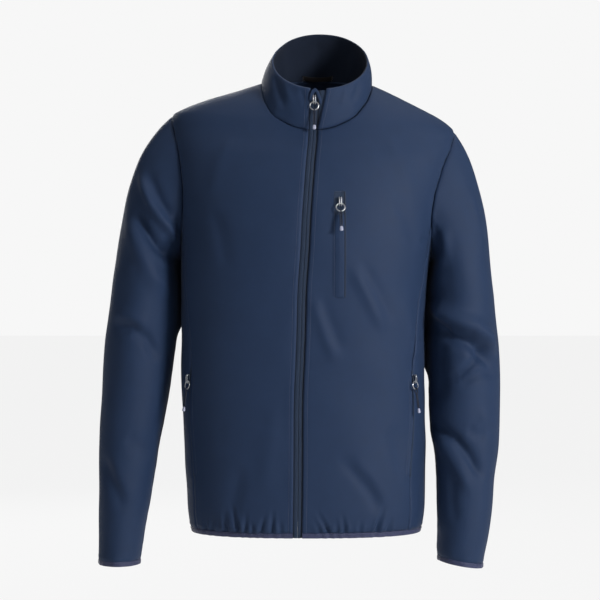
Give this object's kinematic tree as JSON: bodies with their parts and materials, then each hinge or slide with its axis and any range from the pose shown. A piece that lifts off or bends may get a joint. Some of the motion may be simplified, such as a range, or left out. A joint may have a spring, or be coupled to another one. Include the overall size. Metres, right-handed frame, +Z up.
{
  "type": "softshell jacket",
  "caption": "Zip-front softshell jacket in its hollow worn form, with stand collar, zipped chest and hand pockets, bound hem and cuffs, and hinged zip pulls.",
  "frame": {"origin": "middle of the neck base, where the wearer's neck and shoulders carry the jacket", "axes": "+X towards the wearer's left, -Y ahead of the wearer, +Z up"},
  "size_m": [0.6075, 0.2801, 0.8121],
  "materials": {
    "cloth": "smooth bonded softshell knit, slightly stretchy, matt",
    "inner": "dark brushed lining knit",
    "binding": "stretch binding, slight sheen",
    "zip": "woven zip tape with a reversed coil",
    "metal": "nickel-plated, bright",
    "cord": "braided cord",
    "tip": "moulded, matt"
  },
  "bodies": {
    "jacket": {"back": "cloth", "front_right": "cloth", "front_left": "cloth", "sleeve_right": "cloth", "sleeve_left": "cloth", "collar_outer": "cloth", "collar_inner": "inner", "hem_binding": "binding", "cuff_binding_right": "binding", "cuff_binding_left": "binding", "zip_tape_right": "zip", "zip_tape_left": "zip", "zip_garage": "cloth", "chest_pocket_tape": "zip", "chest_pocket_welt": "cloth", "pocket_tape_right": "zip", "pocket_tape_left": "zip", "pocket_welt_right": "cloth", "pocket_welt_left": "cloth", "hanger_loop": "inner", "slider_main": "metal", "slider_chest": "metal", "slider_hand_left": "metal", "slider_hand_right": "metal"},
    "main_pull": {"puller_main_ring": "metal", "puller_main_cord": "cord", "puller_main_tip": "tip"},
    "chest_pull": {"puller_chest_ring": "metal", "puller_chest_cord": "cord", "puller_chest_tip": "tip"},
    "left_hand_pull": {"puller_hand_left_ring": "metal", "puller_hand_left_cord": "cord", "puller_hand_left_tip": "tip"},
    "right_hand_pull": {"puller_hand_right_ring": "metal", "puller_hand_right_cord": "cord", "puller_hand_right_tip": "tip"}
  },
  "joints": [
    {"name": "main_pull_hinge", "type": "hinge", "parent": "jacket", "child": "main_pull", "pos_m": [-0.00027, -0.09434, -0.01185], "axis": [-1, 0, 0], "range_deg": [0, 110]},
    {"name": "chest_pull_hinge", "type": "hinge", "parent": "jacket", "child": "chest_pull", "pos_m": [0.03747, -0.13196, -0.16351], "axis": [-0.9955, -0.0943, 0], "range_deg": [0, 130]},
    {"name": "left_hand_pull_hinge", "type": "hinge", "parent": "jacket", "child": "left_hand_pull", "pos_m": [0.149, -0.07513, -0.42411], "axis": [-0.6193, -0.7851, 0], "range_deg": [0, 130]},
    {"name": "right_hand_pull_hinge", "type": "hinge", "parent": "jacket", "child": "right_hand_pull", "pos_m": [-0.18808, -0.06741, -0.42413], "axis": [-0.5444, 0.8389, 0], "range_deg": [0, 130]}
  ]
}
